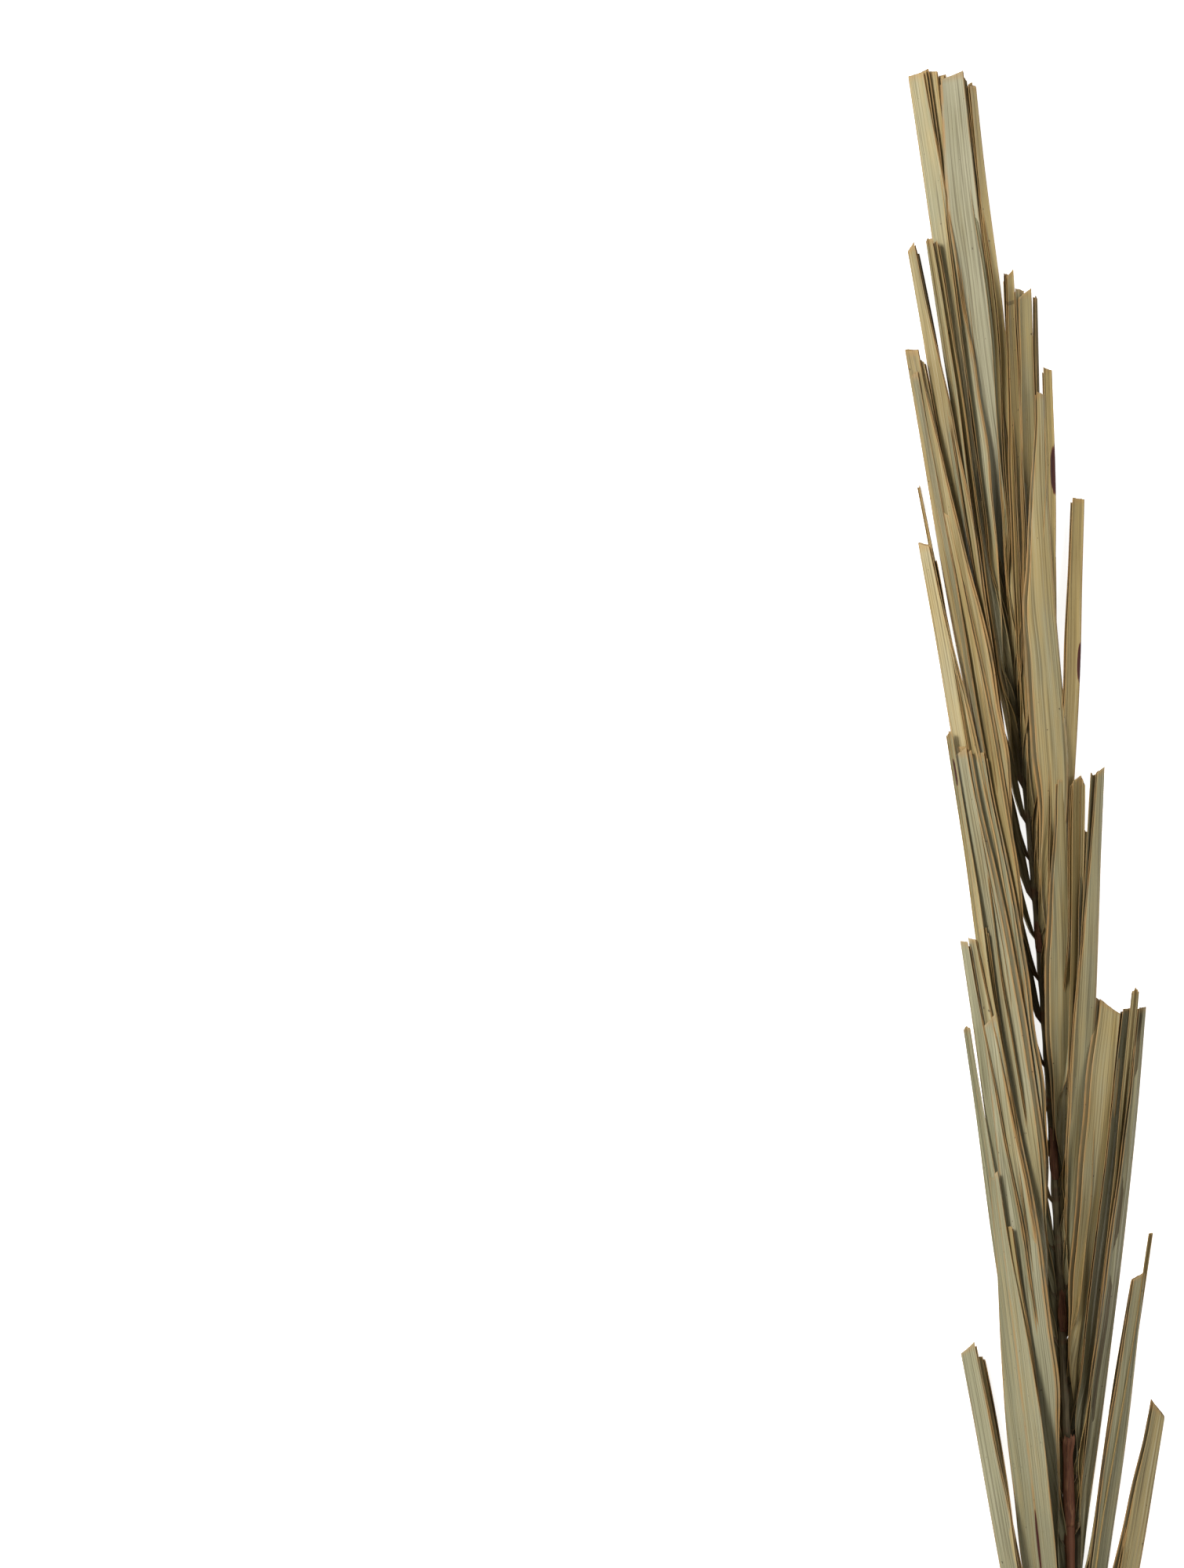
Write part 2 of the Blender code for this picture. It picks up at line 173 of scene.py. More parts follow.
# %% Shader sockets as Python values
class Wire:
    """An output socket of a material's nodes that +, -, * and / work on."""

    def __init__(self, tree, socket=None):
        self.tree = tree
        self.socket = socket

    def node(self, kind, settings=None, sockets=None, out=0):
        """Adds one node: its settings first, then its sockets' values or links. Returns an output."""
        made = self.tree.nodes.new(kind)
        for name, value in (settings or {}).items():
            setattr(made, name, value)
        for name, value in (sockets or {}).items():
            if isinstance(value, Wire):
                self.tree.links.new(value.socket, made.inputs[name])
            else:
                made.inputs[name].default_value = value
        return Wire(self.tree, made.outputs[out])

    def math(self, operation, first, second):
        return self.node("ShaderNodeMath", {"operation": operation}, {0: first, 1: second})

    def __add__(self, other):
        return self.math("ADD", self, other)

    __radd__ = __add__

    def __mul__(self, other):
        return self.math("MULTIPLY", self, other)

    __rmul__ = __mul__

    def __sub__(self, other):
        return self.math("SUBTRACT", self, other)

    def __rsub__(self, other):
        return self.math("SUBTRACT", other, self)

    def __truediv__(self, other):
        return self.math("DIVIDE", self, other)

    def between(self, low, high):
        """0 below low, 1 above high (or the other way round), smooth between."""
        settings = {"interpolation_type": "SMOOTHSTEP", "clamp": True}
        low, high, start, end = (low, high, 0.0, 1.0) if low < high else (high, low, 1.0, 0.0)
        values = {"Value": self, "From Min": low, "From Max": high, "To Min": start, "To Max": end}
        return self.node("ShaderNodeMapRange", settings, values)

    def tint(self, under, over):
        """The colour under where this mask is 0, and over where it is 1."""
        settings = {"data_type": "RGBA"}
        return self.node("ShaderNodeMix", settings, {0: self, 6: under, 7: over}, out=2)

    def noise(self, x, y, z, detail=1.0, roughness=0.5):
        """Smooth random values from 0 to 1, one unit apart in each of the three directions."""
        place = self.node("ShaderNodeCombineXYZ", None, {0: x, 1: y, 2: z})
        values = {"Vector": place, "Scale": 1.0, "Detail": detail, "Roughness": roughness}
        return self.node("ShaderNodeTexNoise", None, values)

    def attribute(self, name):
        """A number stored on the mesh's points."""
        return self.node("ShaderNodeAttribute", {"attribute_name": name}, out=2)

    def feed(self, shader, socket):
        """Links this output to a shader's socket."""
        self.tree.links.new(self.socket, shader.inputs[socket])


# %% [markdown]
# Every material here starts in the same way, with a dull dry sheen, and gets its relief from a Bump
# node. Colours are written as a paint chart gives them.

# %% What the finishes share
DRY_SHEEN = 0.35


def srgb(red, green, blue):
    """A colour as a paint chart gives it, 0 to 255, in the linear values that a shader takes."""
    values = (value / 255 for value in (red, green, blue))
    linear = tuple(v / 12.92 if v <= 0.04045 else ((v + 0.055) / 1.055) ** 2.4 for v in values)
    return (*linear, 1)


def finish(name, roughness):
    """A new material: the Wire to build it with, and its Principled shader."""
    material = bpy.data.materials.new(name)
    material.use_nodes = True
    shader = material.node_tree.nodes["Principled BSDF"]
    shader.inputs["Roughness"].default_value = roughness
    shader.inputs["Specular IOR Level"].default_value = DRY_SHEEN
    return material, Wire(material.node_tree), shader


def emboss(relief, shader, strength, depth):
    """Raises a surface where relief is high."""
    bump = {"Height": relief, "Strength": strength, "Distance": depth}
    relief.node("ShaderNodeBump", None, bump).feed(shader, "Normal")


# %% [markdown]
# ## The finish of a dry leaflet
#
# A dry palm leaflet is sage green to straw. Fine parallel veins run its whole length, the free
# margins and the fold are orange-tan, and dark specks and a few maroon scorch marks sit near the
# margins. Each leaflet carries its own tone, so the mesh stores numbers on its points: how far a
# point is from fold to margin, how far from base to tip, how pale and how green the leaflet is, and
# where it is marked. The veins and blotches are noise drawn out along the leaflet, because they grew
# with it.

# %% Leaflet colours and grains
STRAW = srgb(163, 142, 91)
SAGE = srgb(138, 134, 104)
PALE = srgb(184, 177, 151)
OLIVE = srgb(64, 51, 24)
MARGIN = srgb(158, 120, 68)
RUST = srgb(92, 50, 26)
MAROON = srgb(62, 24, 17)
SPECK = srgb(58, 42, 28)

# Each grain's size in mm across and along the leaflet, a shift that keeps it apart from the others,
# its detail and its roughness.
LEAF_GRAINS = {
    "veins": (0.55, 160, 0, 3.0, 0.6),
    "broad_veins": (2.4, 150, 7, 1.0, 0.5),
    "cloud": (9, 45, 3, 3.0, 0.5),
    "streak": (1.0, 90, 11, 3.0, 0.5),
    "spots": (1.6, 3.4, 19, 1.0, 0.5),
}
LEAF_NUMBERS = (
    "across_mm along_mm fold_to_margin base_to_tip tone green own mark_at mark_half mark_side mark_reach"
)


def leaf_skin(wire):
    """Everything that the leaflet's finish reads: the numbers stored on the mesh, and its grains."""
    skin = SimpleNamespace(**{name: wire.attribute(name) for name in LEAF_NUMBERS.split()})
    for name, (across, along, shift, detail, roughness) in LEAF_GRAINS.items():
        x, y, z = skin.across_mm / across, skin.along_mm / along, skin.own + shift
        setattr(skin, name, wire.noise(x, y, z, detail, roughness))
    crease = wire.noise(skin.along_mm / 9 + skin.across_mm / 90, skin.own + 29, 0.0)
    skin.pressed = crease.between(0.785, 0.793) * crease.between(0.808, 0.80)
    skin.patchy = wire.noise(skin.along_mm / 18, skin.own, 0.0, 3.0).between(0.30, 0.62)
    return skin


print("leaflet grains", len(LEAF_GRAINS))


# %% The living colours of a leaflet
def blade_colour(skin):
    """Straw or sage, paler or darker with the leaflet's tone, and finely veined."""
    greenness = skin.green + (skin.cloud - 0.5) * 0.7 + (skin.broad_veins - 0.5) * 0.5
    colour = greenness.between(0.1, 0.9).tint(STRAW, SAGE)
    # The tone also carries painted shade: it is lowered on a leaflet's lower half and on the narrow
    # leaflets, for the shade they lie in.
    paleness = skin.tone * 0.5 + 0.5 + (skin.cloud - 0.5) * 0.35 + (skin.streak - 0.5) * 0.3
    colour = (paleness.between(0.55, 1.3) * 0.8).tint(colour, PALE)
    colour = (paleness.between(0.5, -0.4) * 0.85).tint(colour, OLIVE)
    colour = (skin.veins.between(0.52, 0.34) * 0.5).tint(colour, OLIVE)
    colour = (skin.veins.between(0.56, 0.72) * 0.45).tint(colour, PALE)
    return (skin.streak.between(0.46, 0.32) * 0.4).tint(colour, OLIVE)


def base_shade_and_dried_ends(colour, skin):
    """Painted shade darkens the base between its pale margins, for the shade beside the midrib. The foot
    itself is rusty, and the cut end is a little browner.
    """
    inside = skin.fold_to_margin.between(0.97, 0.86)
    # Painted shade: the base darkens towards the midrib, between its pale margins.
    colour = (skin.base_to_tip.between(0.14, 0.0) * inside * 0.32).tint(colour, OLIVE)
    colour = (skin.base_to_tip.between(0.02, 0.003) * 0.45).tint(colour, RUST)
    return (skin.base_to_tip.between(0.985, 1.0) * 0.45).tint(colour, MARGIN)


def dried_lines(colour, skin):
    """Margins and the fold dry to an orange-tan line, uneven along the leaflet."""
    drawn = skin.base_to_tip.between(0.02, 0.18)
    rim = skin.fold_to_margin.between(0.91, 0.985) * (0.25 + skin.patchy * 0.55) * drawn
    colour = rim.tint(colour, MARGIN)
    fold = skin.fold_to_margin.between(0.09, 0.015) * (0.15 + skin.patchy * 0.5) * drawn
    return fold.tint(colour, MARGIN)


def marked(colour, skin):
    """Specks of mildew, creases pressed across the blade, and scorch marks on a few margins."""
    colour = (skin.spots.between(0.765, 0.80) * 0.75).tint(colour, SPECK)
    colour = (skin.pressed * 0.5).tint(colour, OLIVE)
    along = (skin.along_mm - skin.mark_at) / skin.mark_half
    across = (skin.fold_to_margin - skin.mark_side) / skin.mark_reach
    from_mark = along * along + across * across + (skin.streak - 0.5) * 1.2
    colour = from_mark.between(1.25, 1.05).tint(colour, RUST)
    return from_mark.between(1.05, 0.85).tint(colour, MAROON)


# %% Leaflet finish
def leaflet_finish():
    material, wire, shader = finish("dry_leaflet", 0.62)
    skin = leaf_skin(wire)
    colour = marked(dried_lines(base_shade_and_dried_ends(blade_colour(skin), skin), skin), skin)
    colour.feed(shader, "Base Color")
    rough = 0.58 + (skin.veins - 0.5) * 0.22 + (skin.cloud - 0.5) * 0.2
    rough.feed(shader, "Roughness")
    relief = skin.veins * 0.6 + skin.broad_veins * 0.5 + skin.streak * 0.25 + skin.pressed * 0.8
    emboss(relief, shader, strength=0.55, depth=0.0005)
    return material


dry_leaflet = leaflet_finish()
print("made", dry_leaflet.name, "with", len(dry_leaflet.node_tree.nodes), "nodes")

# %% [markdown]
# ## Reading a blade back from the CAD
#
# Every CAD blade is a thin plate with twelve stations, and each station has four corners: two at
# either edge. Sorted by their distance along the leaf, the corners fall into fours, and sorted
# sideways each four falls into its two edges. That gives the blade's outer and inner edge as two
# lines of points. The midrib's rings are found in the same way, from the gaps between them. A Hermite
# curve through the points turns the few stations into as many as the leaflet needs.

# %% Smooth lines through a few points
CORNERS = 4
RING_GAP = 0.008  # the CAD midrib's rings stand further apart than this, and each is flatter


def station_points(name):
    """The corners of a CAD node, each once, as rounded (x, y, z)."""
    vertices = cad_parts[name].data.vertices
    return {tuple(round(value, 5) for value in vertex.co) for vertex in vertices}


def blade_edges(name):
    """(stations, 2, 3): the outer and the inner edge of a CAD blade, from the midrib to the cut."""
    points = sorted(station_points(name), key=lambda point: point[1])
    stations = []
    for start in range(0, len(points) - CORNERS + 1, CORNERS):
        corners = sorted(points[start : start + CORNERS])
        edges = [np.mean(corners[:2], axis=0), np.mean(corners[2:], axis=0)]
        stations.append(edges if "left" in name else edges[::-1])
    return np.array(stations)


def midrib_rings():
    """Centre and radius of the CAD midrib at each of its rings, from the stalk to the tip."""
    points = np.array(sorted(station_points("midrib")))
    points = points[np.argsort(points[:, 1])]
    gaps = np.where(np.diff(points[:, 1]) > RING_GAP)[0] + 1
    rings = np.split(points, gaps)
    centres = np.array([(ring.min(axis=0) + ring.max(axis=0)) / 2 for ring in rings])
    radii = np.array([np.ptp(ring[:, 2]) / 2 for ring in rings])
    return centres, radii


def smooth_line(knots, places, wanted):
    """A Hermite curve through knots at places, read at the wanted places, straight past the ends."""
    slopes = np.gradient(knots, places, axis=0)
    inside = np.clip(wanted, places[0], places[-1])
    cell = np.clip(np.searchsorted(places, inside) - 1, 0, len(places) - 2)
    width = places[cell + 1] - places[cell]
    t = ((inside - places[cell]) / width).reshape(-1, *([1] * (knots.ndim - 1)))
    width = width.reshape(t.shape)
    a, b = knots[cell], knots[cell + 1]
    first, second = slopes[cell] * width, slopes[cell + 1] * width
    line = a * (1 + 2 * t) * (1 - t) ** 2 + b * t * t * (3 - 2 * t)
    line = line + first * t * (1 - t) ** 2 - second * t * t * (1 - t)
    beyond = (wanted - inside).reshape(t.shape)
    return line + beyond * np.where(beyond < 0, slopes[0], slopes[-1])


midrib_centres, midrib_radii = midrib_rings()
print("midrib rings", len(midrib_radii), "stations on a blade", len(blade_edges(leaflet_names[0])))


# %% Soft steps and slow random lines
def ramp(value, start, end):
    """0 at start, 1 at end, smooth between, for arrays."""
    share = np.clip((value - start) / (end - start), 0, 1)
    return share * share * (3 - 2 * share)


def wander(noise, places, step, size):
    """A smooth random line: values about every step, at the places, of about that size."""
    count = int(np.ptp(places) / step) + 4
    knots = noise.normal(0, size, count)
    return smooth_line(knots, places.min() + step * (np.arange(count) - 1.0), places)


# %% [markdown]
# ## No two leaflets are alike
#
# Seen from above, some leaflets show as broad flat strips. Those between them stand almost on edge,
# packed like the pleats of a fan, and show only a narrow pleated side. A third of the narrow ones are
# ajar: their two halves have come apart into a shallow valley. Random draws give every leaflet its
# own character within these kinds. The leaflets that catch the eye, such as the unfolded one, the
# scorched ones and the strips on top, are then set by name.

# %% The kinds of leaflet
BROAD = {
    "left": ("01", "03", "04", "06", "08", "11", "14", "17", "19", "21", "24", "26"),
    "right": ("01", "03", "06", "09", "11", "14", "17", "19", "22", "24", "27"),
}
SHARE_AJAR = 0.35
NO_MARK = (-1000.0, 1.0, 0.0, 1.0)


def is_broad(name):
    side, number = name.split("_")[1], name[-2:]
    return number in BROAD[side] if number.isdigit() else True


print("broad strips", sum(is_broad(name) for name in leaflet_names))

# %% [markdown]
# Tone runs from dark (-1) to pale (1) and green from straw (0) to sage (1). Breadth multiplies the
# CAD blade's width, stand is the tilt on edge in degrees, raised lifts the leaflet over the others,
# and bowed pushes it sideways, by a distance, around a share of its length. A mark is given by its
# distance from the cut and its half length in mm, its side (0 fold, 1 margin) and its reach.

# %% Leaflets set by name
SPECIAL = {
    "left_01": dict(tone=0.3, green=0.9),
    "left_02": dict(tone=-0.2, green=0.3),
    "left_03": dict(tone=0.35, green=0.75, unfolded=True, breadth=1.35, mark=(238, 22, 0.0, 0.06)),
    "left_04": dict(tone=0.1, green=0.45),
    "left_05": dict(tone=0.1, green=0.9, breadth=1.3, stand=10.0),
    "left_06": dict(tone=0.5, green=1.0, breadth=1.4, stand=2.0, raised=0.001),
    "left_07": dict(tone=-0.1, green=0.9, breadth=1.25, stand=14.0),
    "left_08": dict(tone=0.3, green=0.6, breadth=1.5, stand=6.0),
    "left_10": dict(tone=0.2, green=0.5, mark=(26, 8, 0.0, 0.3)),
    "left_11": dict(tone=0.45, green=0.7, breadth=1.3, stand=6.0),
    "left_12": dict(tone=0.3, green=0.9, breadth=1.4, stand=3.0, raised=0.001, fold_at=0.0),
    "left_14": dict(tone=0.5, green=0.35),
    "left_16": dict(tone=-0.5),
    "left_17": dict(tone=-0.7, breadth=1.4, stand=5.0),
    "left_19": dict(tone=-0.7, green=0.35, breadth=1.45, stand=4.0, raised=0.003),
    "left_21": dict(tone=-0.75, green=0.35),
    "left_22": dict(tone=-0.6),
    "left_23": dict(tone=-0.5, green=0.5),
    "left_24": dict(tone=-0.6, breadth=0.9, stand=45.0, pleat=0.0004),
    "left_25": dict(tone=-0.7),
    "left_26": dict(tone=0.1, green=0.6),
    "left_27": dict(tone=-0.1, green=0.4),
    "left_28": dict(tone=0.2, green=0.3, breadth=0.8, fold_at=0.0),
    "left_29": dict(tone=0.2, green=0.5, breadth=0.6, fold_at=0.0),
    "right_01": dict(tone=-0.3, green=0.4),
    "right_02": dict(tone=-0.6, green=0.1),
    "right_03": dict(tone=-0.2, green=0.8),
    "right_04": dict(tone=-0.5, green=0.0),
    "right_05": dict(tone=-0.5, green=0.4, breadth=1.0, stand=30.0, pleat=0.0005),
    "right_06": dict(tone=-0.6, green=0.8, breadth=1.25, stand=12.0, pleat=0.0006),
    "right_07": dict(tone=-0.5, green=0.3, breadth=1.05, stand=28.0, pleat=0.0005),
    "right_08": dict(tone=-0.7, green=1.0, breadth=1.15, stand=20.0, pleat=0.0006),
    "right_09": dict(tone=0.25, green=0.4, breadth=1.5, stand=0.0, raised=0.003),
    "right_10": dict(tone=-0.8, breadth=1.0, stand=35.0, pleat=0.0006),
    "right_11": dict(tone=0.2, green=0.6),
    "right_12": dict(tone=-0.3, green=0.5, breadth=1.1, stand=18.0),
    "right_13": dict(breadth=1.1, stand=25.0),
    "right_14": dict(tone=0.1, green=0.5),
    "right_17": dict(
        tone=-0.5, green=0.0, breadth=0.9, stand=8.0, fold_at=0.0, mark=(105, 12, 0.0, 0.22)
    ),
    "right_19": dict(
        tone=0.25, green=0.4, breadth=1.45, stand=0.0, raised=0.004, bowed=(0.0075, 0.33)
    ),
    "right_20": dict(
        tone=-0.1,
        green=-0.2,
        breadth=1.0,
        stand=8.0,
        raised=0.003,
        bowed=(0.0025, 0.8),
        mark=(64, 15, 0.0, 0.5),
    ),
    "right_21": dict(tone=-1.2, green=0.0),
    "right_22": dict(tone=0.2, green=0.4),
    "right_23": dict(tone=0.3, green=0.5),
    "right_27": dict(breadth=0.9, bowed=(0.004, 0.6)),
    "right_28": dict(tone=-0.1, green=0.0, breadth=0.7, bowed=(0.005, 0.6)),
    "right_29": dict(breadth=0.9, bowed=(0.003, 0.6)),
    "tip": dict(tone=0.75, green=0.9, breadth=1.4, stand=0.0, raised=0.006, fold_at=0.0),
}


def leaflet_style(name, noise):
    """How one leaflet differs from the others. Lengths are in metres."""
    broad = is_broad(name)
    ajar = noise.random() < SHARE_AJAR and not broad
    style = {
        # The narrow leaflets stand between the broad strips and are darker on average: painted shade for
        # the crevices they stand in. The spread about that average is each leaflet's own tone.
        "tone": noise.normal(0.15 if broad else -0.4, 0.35),
        "green": noise.uniform(-0.3, 1.2),
        "peep": noise.uniform(0.03, 0.20),  # how far the lower half shows past the upper one
        "lift_at_tip": noise.uniform(0.0, 0.0016),
        "lean_up": noise.uniform(0.0008, 0.0022) if broad else noise.uniform(0.0002, 0.0012),
        "breadth": noise.uniform(1.15, 1.35) if broad else noise.uniform(0.75, 0.95),
        "stand": noise.uniform(0, 12) if broad else noise.uniform(35, 62),
        "pleat": noise.uniform(0.0, 0.00012) if broad else noise.uniform(0.0002, 0.0005),
        "fold_at": noise.uniform(0.22, 0.42) if ajar else 0.0,  # where the valley of an ajar one lies
        "valley": noise.uniform(0.0010, 0.0022),
        "slant": noise.choice([-1, 1]) * noise.uniform(0.05, 0.55),
        "lower_cut": noise.uniform(-0.001, 0.001) if ajar else noise.uniform(-0.004, 0.001),
        "crown": noise.normal(0.0, 0.0006),
        "unfolded": False,
        "raised": 0.0,
        "bowed": (0.0, 0.5),
        "mark": NO_MARK,
    }
    style.update(SPECIAL.get(name.removeprefix("leaflet_"), {}))
    if style["unfolded"]:
        style["fold_at"] = 0.5
    return style


print("leaflets set by name", len(SPECIAL))

# %% [markdown]
# ## The sheet of a leaflet
#
# The leaflet is one sheet folded in two: it runs from one free margin to the fold and back to the
# other margin. A grid of points follows that section along the blade. Bending a flat grid with a few
# formulas gives every leaflet the same clean rows of faces, which a cloth simulation wouldn't. Its
# columns crowd at the fold and the margins, and its rows at the cut, where the shape changes most.

# %% Columns and rows of the grid
HALF_STEPS = np.array((0.0, 0.05, 0.13, 0.24, 0.37, 0.50, 0.63, 0.76, 0.87, 0.95, 1.0))
FROM_FOLD = np.concatenate([HALF_STEPS[::-1], HALF_STEPS[1:]])[None, :]  # 1 at either free margin
UPPER = np.concatenate([np.ones(len(HALF_STEPS)), np.zeros(len(HALF_STEPS) - 1)])[None, :]
SIDE = 2 * UPPER - 1  # 1 on the upper half, -1 on the lower
ROW_STEP = 0.005
ROWS_AT_CUT = np.array([0.0045, 0.003, 0.0015, 0.0])
FOOT = 0.008  # how far a leaflet is drawn back past its CAD blade, into the midrib
FRAY = 0.00012


def leaflet_rows(length):
    """Distances along a leaflet at which it gets a row of points, closer together at the cut."""
    body = np.arange(-FOOT, length - 0.006, ROW_STEP)
    return np.concatenate([body, length - ROWS_AT_CUT])


def cut_line(style, edges, noise):
    """The cut: oblique, a little ragged, and not quite level between the two halves."""
    ragged = noise.normal(0, FRAY, FROM_FOLD.shape)
    cut = style["slant"] * (FROM_FOLD - 0.5) * np.linalg.norm(edges[-1, 0] - edges[-1, 1])
    return cut + ragged + (1 - UPPER) * style["lower_cut"]


print("columns", FROM_FOLD.size)

# %% [markdown]
# Each point of the grid needs to know where the CAD blade lies at its distance: the outer edge, the
# direction across it, the blade's width there, and which way is up from its face.

# %% The blade under the sheet
LOOK_AHEAD = 0.002


def blade_under(edges, middle_line, places, distance):
    """Outer edge, direction across, upward normal and width of a blade, at each of the distances."""
    flat = distance.ravel()
    found = smooth_line(edges, places, flat).reshape(*distance.shape, 2, 3)
    outer, inner = found[..., 0, :], found[..., 1, :]
    across = inner - outer
    width = np.linalg.norm(across, axis=-1, keepdims=True)
    across = across / width
    onward, back = (smooth_line(middle_line, places, flat + step) for step in (LOOK_AHEAD, -LOOK_AHEAD))
    ahead = (onward - back).reshape(*distance.shape, 3)
    ahead = ahead / np.linalg.norm(ahead, axis=-1, keepdims=True)
    normal = np.cross(ahead, across)
    normal *= np.where(normal[..., 2:] < 0, -1, 1)
    return outer, across, normal, width[..., 0]


# %% [markdown]
# ## How a section changes along the leaflet
#
# Where it leaves the midrib a leaflet is a boat: its halves stand open, the one next to the midrib
# more than the other, and it is swollen and deeply pleated. Further on they lie shut on each other,
# with the lower one peeping out a little. On the left there is a stretch where daylight shows beside
# the midrib. Two out of three leaflets there stay slim at the foot and leave a gap, and the third
# crosses it.

# %% The foot of a leaflet
OPEN_AT_BASE = math.radians(18)
OPEN_INWARD = math.radians(38)  # how much further the half next to the midrib falls open
BASE_SWELL = 0.45  # how much wider than the CAD blade a leaflet is just beyond its foot
BASE_PLEAT = 0.0007
GAP_STARTS = (-0.14, -0.08)  # places along the midrib between which its left side clears
GAP_ENDS = (0.14, 0.20)
CROSSES_GAP = 3  # every third leaflet crosses the gap


def standing_clear(name, foot_at):
    """1 for a leaflet that leaves a gap beside the midrib, 0 for one that doesn't."""
    in_gap = ramp(foot_at, *GAP_STARTS) * (1 - ramp(foot_at, *GAP_ENDS))
    return in_gap * ("left" in name and int(name[-2:]) % CROSSES_GAP != 0)


def boat_angle(share, clear):
    """The angle at which each half stands open, shrinking to 0 beyond the foot."""
    inward = OPEN_INWARD * (1 - 0.6 * clear) * (1 - UPPER)
    return (OPEN_AT_BASE + inward) * (1 - 0.4 * clear) * (1 - ramp(share, 0.04, 0.18))


def breadth_along(style, share, clear):
    """The leaflet's width as a multiple of its blade's."""
    wide = 1 + (style["breadth"] - 1) * ramp(share, 0.1, 0.4) * (1 - 0.4 * ramp(share, 0.8, 1.0))
    swollen = ramp(share, 0.0, 0.05) * (1 - ramp(share, 0.08, 0.30))
    return wide * (1 + BASE_SWELL * (1 - 1.3 * clear) * swollen)


def pleating(style, share, clear):
    """Lengthwise pleats: shallow along the leaflet, deep just beyond its foot."""
    along = style["pleat"] * ramp(share, 0.08, 0.25)
    foot = BASE_PLEAT * (1 - clear) * ramp(share, 0.01, 0.05) * (1 - ramp(share, 0.15, 0.45))
    return (along + foot) * np.cos(4 * np.pi * FROM_FOLD)


# %% [markdown]
# A dry blade is never quite flat. Each half waves slowly along its length, its ribs stand out a
# little, and it is crowned or hollow between margin and fold. These small errors catch the light, and
# without them the strips look like cut card.

# %% The section from margin to fold to margin
SHUT_GAP = 0.00030
FOLD_ROUNDING = 0.07  # the share of a half's width over which the fold bends
VALLEY_ROUNDING = 0.25


def unevenness(style, rows, share, noise):
    """How far each half departs from flat."""
    waves = np.stack([wander(noise, rows, 0.035, 0.00018) for _ in range(2)])
    waves = np.where(UPPER > 0, waves[0][:, None], waves[1][:, None]) * FROM_FOLD
    ribs = noise.normal(0, 0.00004, FROM_FOLD.size)[None, :] * ramp(share, 0.05, 0.2)
    crown = style["crown"] * np.sin(np.pi * FROM_FOLD) * ramp(share, 0.2, 0.5)
    return waves + ribs + crown


def shut_section(style, rows, share, width, clear, noise):
    """Reach from the outer edge, as a share of the width, and height, of a folded leaflet."""
    boat = boat_angle(share, clear)
    swollen = 1 + BASE_SWELL * ramp(share, 0.0, 0.05)
    rounded = SHUT_GAP * (1 - np.exp(-FROM_FOLD / FOLD_ROUNDING))
    rise = width * FROM_FOLD * np.sin(boat) * swollen + rounded
    lift = style["lift_at_tip"] * ramp(share, 0.72, 1.0) * FROM_FOLD**1.5
    uneven = unevenness(style, rows, share, noise)
    height = SIDE * rise + UPPER * lift + uneven
    reach = FROM_FOLD * np.cos(boat) * (1 + (1 - UPPER) * style["peep"] * ramp(share, 0.1, 0.35))
    reach = reach * (1 + wander(noise, rows, 0.03, 0.025)[:, None] * FROM_FOLD)
    return reach * breadth_along(style, share, clear), height, uneven


def fallen_open(style, share, reach, height, uneven):
    """The same for a leaflet that is ajar or unfolded: its halves lie side by side in a valley."""
    fold_at = style["fold_at"]
    ajar = ramp(share, 0.08, 0.30)
    spread = fold_at + np.where(UPPER > 0, (1 - fold_at) * FROM_FOLD, -fold_at * FROM_FOLD)
    dip = 0.5 * np.exp(-((FROM_FOLD / VALLEY_ROUNDING) ** 2))
    valley = style["valley"] * ((0.5 + 0.2 * UPPER) * FROM_FOLD - dip)
    return reach + (spread - reach) * ajar, height + (valley + uneven - height) * ajar


# %% [markdown]
# ## Tilting, raising and planting a leaflet
#
# The finished section leans up towards its free margin, narrows into its foot, and turns on edge
# about its middle. A few leaflets are raised over the rest or bowed sideways. Last, the foot is drawn
# in to the heart of the midrib, so that no leaflet ends in the air, and nothing sinks into the table.

# %% From section to points in space
LEAF_THICKNESS = 0.00024
BOW_WIDTH = 0.22  # the share of the length over which a bowed leaflet bends
SUNK = 0.92  # how much of the way to the midrib's heart the foot goes


def laid(style, rows, share, reach, height, noise):
    """Reach and height once the leaflet leans, wavers and narrows into its foot."""
    lean_up = style["lean_up"] * (1 + wander(noise, rows, 0.06, 0.35)[:, None])
    height = height + lean_up * reach * ramp(share, 0.12, 0.40)
    height = height + wander(noise, rows, 0.07, 0.0003)[:, None] * ramp(share, 0.1, 0.3)
    taper = ramp(rows, -FOOT, 0.01)[:, None] * 0.5 + 0.5
    return 0.5 + (reach - 0.5) * taper, height


def tilted(style, share, width, reach, height):
    """Distance from the outer edge and height in metres, with the section turned on edge."""
    tilt = math.radians(style["stand"]) * ramp(share, 0.10, 0.22) * (1 - 0.65 * ramp(share, 0.5, 0.95))
    aside = 0.5 * width + (reach - 0.5) * width * np.cos(tilt) - height * np.sin(tilt)
    height = reach * width * np.sin(tilt) + height * np.cos(tilt)
    return aside, height + style["raised"] * ramp(share, 0.12, 0.35)


def planted(style, share, distance, points):
    """The points once bowed sideways, with the foot in the midrib and nothing below the table."""
    sideways, where = style["bowed"]
    points[..., 0] += sideways * np.exp(-(((share - where) / BOW_WIDTH) ** 2)) * ramp(share, 0.0, 0.15)
    heart = smooth_line(midrib_centres, midrib_centres[:, 1], points[..., 1].ravel())
    sunk = ramp(-distance, -0.002, FOOT)[..., None] * SUNK
    points = points + (heart.reshape(points.shape) - points) * sunk * [1, 0, 1]
    points[..., 2] = np.maximum(points[..., 2], LEAF_THICKNESS)
    return points


